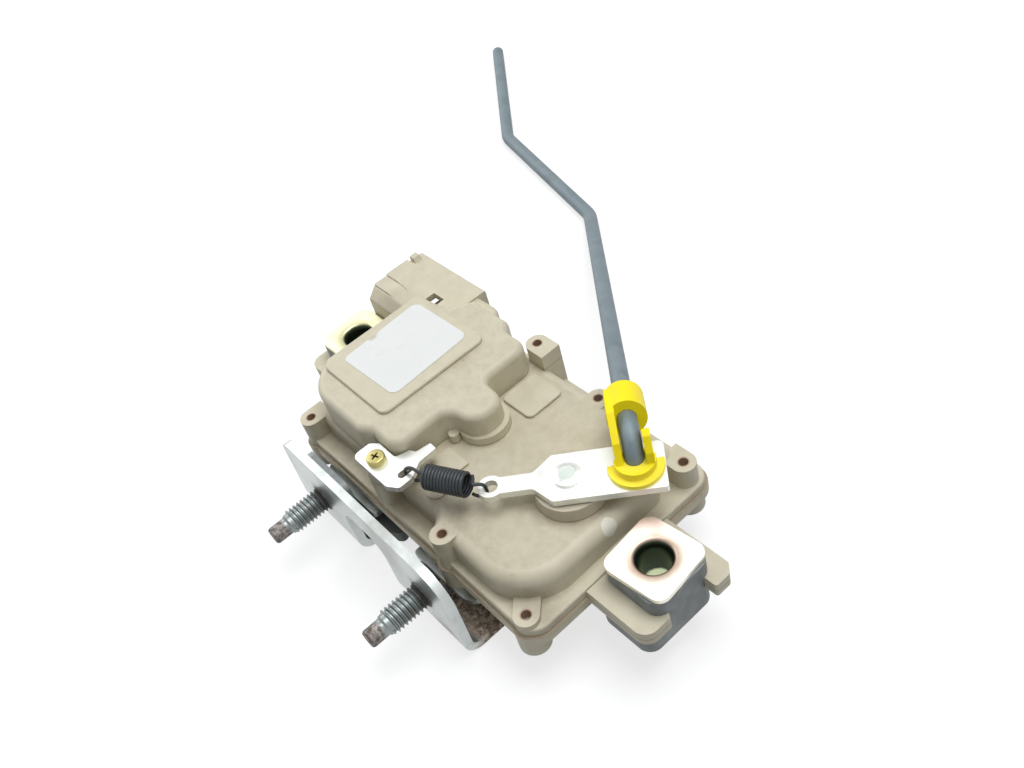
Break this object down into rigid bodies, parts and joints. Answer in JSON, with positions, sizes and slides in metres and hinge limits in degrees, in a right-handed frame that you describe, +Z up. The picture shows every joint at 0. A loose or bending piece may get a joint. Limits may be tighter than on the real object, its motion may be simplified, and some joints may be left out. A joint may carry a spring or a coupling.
{
  "type": "tailgate lock",
  "caption": "Tailgate lock: slotted latch frame with claw and pawl under a moulded actuator housing, with a release lever, return spring, control rod and grommeted mounting collars.",
  "frame": {"origin": "on the bore axis of the right mounting collar, at the collar's lower face", "axes": "+Z up along the collar bores; +X from the left collar to the right one; the mounting studs point to -Y"},
  "size_m": [0.2255, 0.1859, 0.0376],
  "materials": {
    "galvanised": "galvanised steel sheet, light rust",
    "zinc": "bright zinc-plated steel",
    "yellow_zinc": "yellow chromate on zinc",
    "dark_steel": "dark coated steel",
    "spring_black": "black spring steel",
    "housing_plastic": "aged beige polyamide",
    "clip_plastic": "yellow polyamide",
    "gear_plastic": "natural acetal",
    "rubber": "dark rubber",
    "brass": "plain brass",
    "label_film": "white film",
    "coated_fork": "black coating over steel"
  },
  "bodies": {
    "base": {"latch_frame": "galvanised", "mount_studs": "zinc", "back_plate": "galvanised", "pivot_rivets": "zinc", "frame_spacers": "zinc", "frame_screws": "zinc", "fork_spring": "spring_black", "pawl_spring": "spring_black", "striker_buffer": "rubber", "housing_case": "housing_plastic", "housing_cover": "housing_plastic", "cover_screws": "zinc", "shaft_bushes": "gear_plastic", "wheel_pin": "zinc", "motor_can": "zinc", "motor_end_cap": "gear_plastic", "spring_anchor": "zinc", "anchor_screw": "yellow_zinc", "return_spring": "spring_black", "grommet_right": "rubber", "grommet_left": "rubber", "collar_right": "yellow_zinc", "collar_left": "yellow_zinc", "label": "label_film", "connector_terminals": "brass"},
    "lever_body": {"lever": "zinc", "output_shaft": "zinc", "drive_arm": "gear_plastic", "release_arm": "zinc"},
    "rod_body": {"control_rod": "galvanised", "rod_clip": "clip_plastic"},
    "pawl_body": {"pawl": "dark_steel"},
    "fork_body": {"fork_bolt": "coated_fork"},
    "wheel_body": {"worm_wheel": "gear_plastic"},
    "worm_body": {"worm": "brass", "motor_shaft": "zinc"}
  },
  "joints": [
    {"name": "lever_turn", "type": "hinge", "parent": "base", "child": "lever_body", "pos_m": [-0.0224, 0, 0], "axis": [0, 0, 1], "range_deg": [0, 28], "stiffness_Nm_per_rad": 0.25, "springref_deg": -17.19, "deforming": ["return_spring"]},
    {"name": "rod_swivel", "type": "hinge", "parent": "lever_body", "child": "rod_body", "pos_m": [-0.01341, 0.01034, 0], "axis": [0, 0, 1], "range_deg": [-28, 0]},
    {"name": "pawl_turn", "type": "hinge", "parent": "base", "child": "pawl_body", "pos_m": [-0.0435, -0.0235, 0], "axis": [0, 0, 1], "range_deg": [-33.6, 0]},
    {"name": "fork_turn", "type": "hinge", "parent": "base", "child": "fork_body", "pos_m": [-0.069, -0.009, 0], "axis": [0, 0, 1], "range_deg": [-42, 0]},
    {"name": "wheel_turn", "type": "hinge", "parent": "base", "child": "wheel_body", "pos_m": [-0.05, 0.0003, 0], "axis": [0, 0, 1], "range_deg": [-34, 0]},
    {"name": "worm_turn", "type": "hinge", "parent": "base", "child": "worm_body", "pos_m": [-0.05, -0.0105, 0.011], "axis": [1, 0, 0], "range_deg": [0, 340]}
  ],
  "couplings": [
    {"joint": "rod_swivel", "follows": "lever_turn", "ratio": -1},
    {"joint": "pawl_turn", "follows": "lever_turn", "ratio": -1.2},
    {"joint": "fork_turn", "follows": "lever_turn", "ratio": -1.5},
    {"joint": "worm_turn", "follows": "wheel_turn", "ratio": -10}
  ]
}
